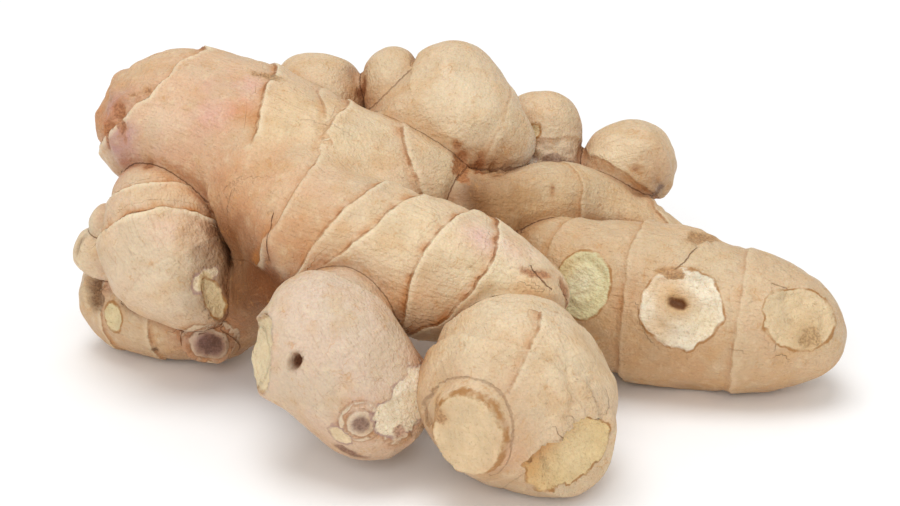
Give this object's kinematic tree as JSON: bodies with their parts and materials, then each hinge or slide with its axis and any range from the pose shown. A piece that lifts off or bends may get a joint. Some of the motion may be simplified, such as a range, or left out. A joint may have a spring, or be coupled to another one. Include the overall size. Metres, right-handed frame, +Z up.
{
  "type": "ginger rhizome",
  "caption": "Fresh ginger rhizome lying on a surface: a thick knobbly trunk with stubby ringed fingers, round knobs, bud scars and broken ends.",
  "frame": {"origin": "the middle of the rhizome's bounding box, on the surface that it lies on", "axes": "+X along the longest extent towards the long right finger, +Y towards the back knobs, +Z up"},
  "size_m": [0.1657, 0.1225, 0.0642],
  "materials": {
    "ginger_skin": "thin matte tan skin with ring scars, paler peeled patches and orange-brown leaf scars"
  },
  "bodies": {
    "root": {"ginger_rhizome": "ginger_skin"}
  },
  "joints": []
}
